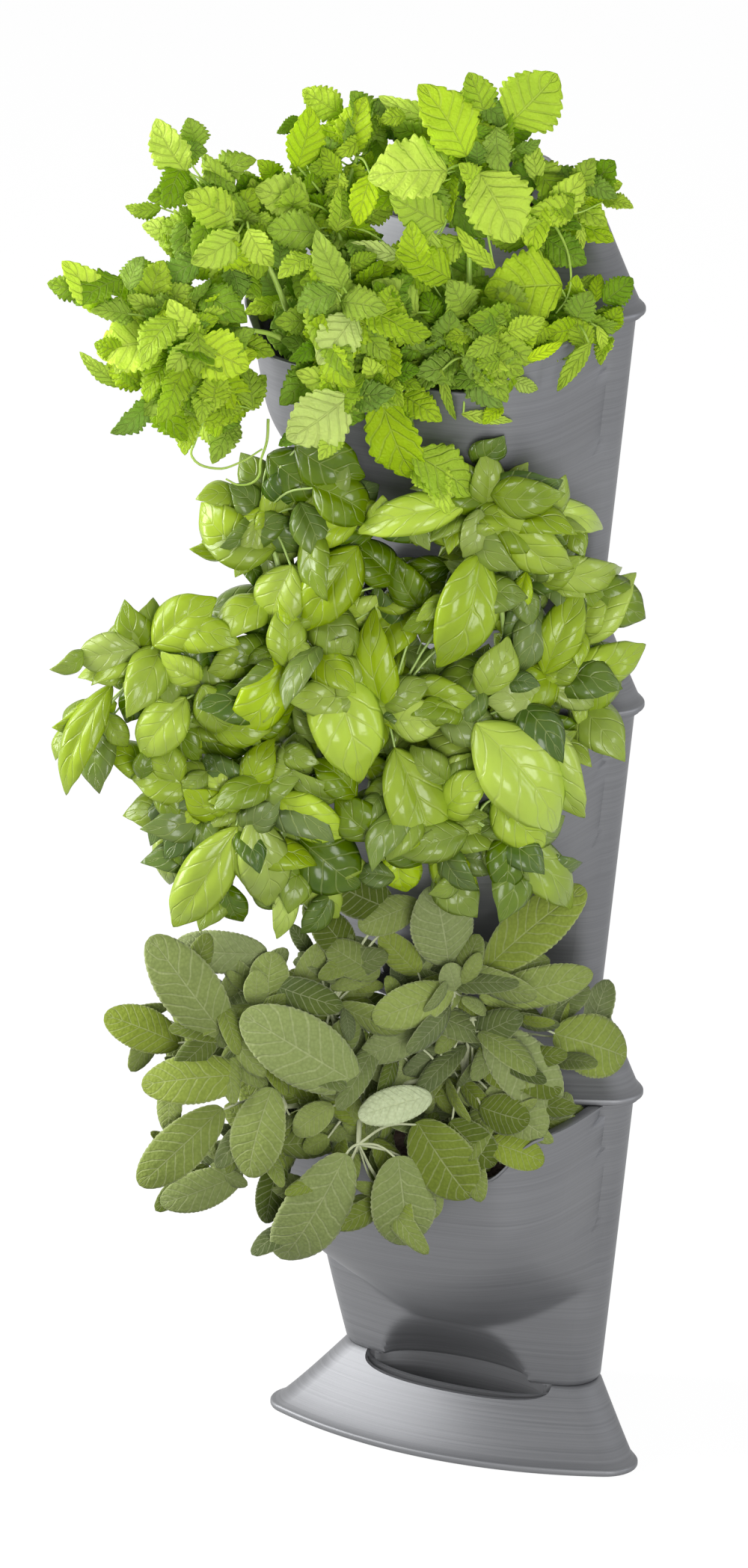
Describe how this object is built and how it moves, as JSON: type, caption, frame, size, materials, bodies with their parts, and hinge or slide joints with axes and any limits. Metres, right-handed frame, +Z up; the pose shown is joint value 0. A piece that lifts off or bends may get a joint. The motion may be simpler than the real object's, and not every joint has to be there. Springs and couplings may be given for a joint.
{
  "type": "vertical planter tower",
  "caption": "Freestanding tower of stacked corner planters with forward planting mouths, hoods, drip tray and growing herbs.",
  "frame": {"origin": "on the floor under the tower, on the tray's underside, on the plane of left-right symmetry", "axes": "+Z up, -Y to the front where the planting mouths are, +Y to the 90 degree back corner, +X to the viewer's right seen from the front"},
  "size_m": [0.2386, 0.2609, 0.7127],
  "materials": {
    "shell_plastic": "satin silver grey, fine horizontal brushed grain",
    "tray_plastic": "satin dark grey",
    "grate_plastic": "satin dark grey",
    "soil": "crumbly, damp",
    "lemon_balm_leaf": "matt, quilted, bright yellow green",
    "basil_leaf": "glossy, smooth, mid green",
    "sage_leaf": "matt, pebbled, grey green"
  },
  "bodies": {
    "base": {"base_skirt": "shell_plastic", "base_tray": "tray_plastic"},
    "level_lower": {"pot_lower": "shell_plastic", "drain_grate_lower": "grate_plastic", "soil_lower": "soil", "sage_left": "sage_leaf", "sage_middle": "sage_leaf", "sage_right": "sage_leaf"},
    "cover_lower": {"hood_lower": "shell_plastic"},
    "level_middle": {"pot_middle": "shell_plastic", "drain_grate_middle": "grate_plastic", "soil_middle": "soil", "basil_left": "basil_leaf", "basil_middle": "basil_leaf", "basil_right": "basil_leaf"},
    "cover_middle": {"hood_middle": "shell_plastic"},
    "level_upper": {"pot_upper": "shell_plastic", "drain_grate_upper": "grate_plastic", "soil_upper": "soil", "lemon_balm_left": "lemon_balm_leaf", "lemon_balm_middle": "lemon_balm_leaf", "lemon_balm_right": "lemon_balm_leaf"},
    "cover_upper": {"hood_upper": "shell_plastic"}
  },
  "joints": [
    {"name": "pot_lower_lift", "type": "slide", "parent": "base", "child": "level_lower", "axis": [0, 0, 1], "range_m": [0, 0.02]},
    {"name": "hood_lower_lift", "type": "slide", "parent": "level_lower", "child": "cover_lower", "axis": [0, 0, 1], "range_m": [0, 0.008]},
    {"name": "pot_middle_lift", "type": "slide", "parent": "cover_lower", "child": "level_middle", "axis": [0, 0, 1], "range_m": [0, 0.02]},
    {"name": "hood_middle_lift", "type": "slide", "parent": "level_middle", "child": "cover_middle", "axis": [0, 0, 1], "range_m": [0, 0.008]},
    {"name": "pot_upper_lift", "type": "slide", "parent": "cover_middle", "child": "level_upper", "axis": [0, 0, 1], "range_m": [0, 0.02]},
    {"name": "hood_upper_lift", "type": "slide", "parent": "level_upper", "child": "cover_upper", "axis": [0, 0, 1], "range_m": [0, 0.008]}
  ]
}
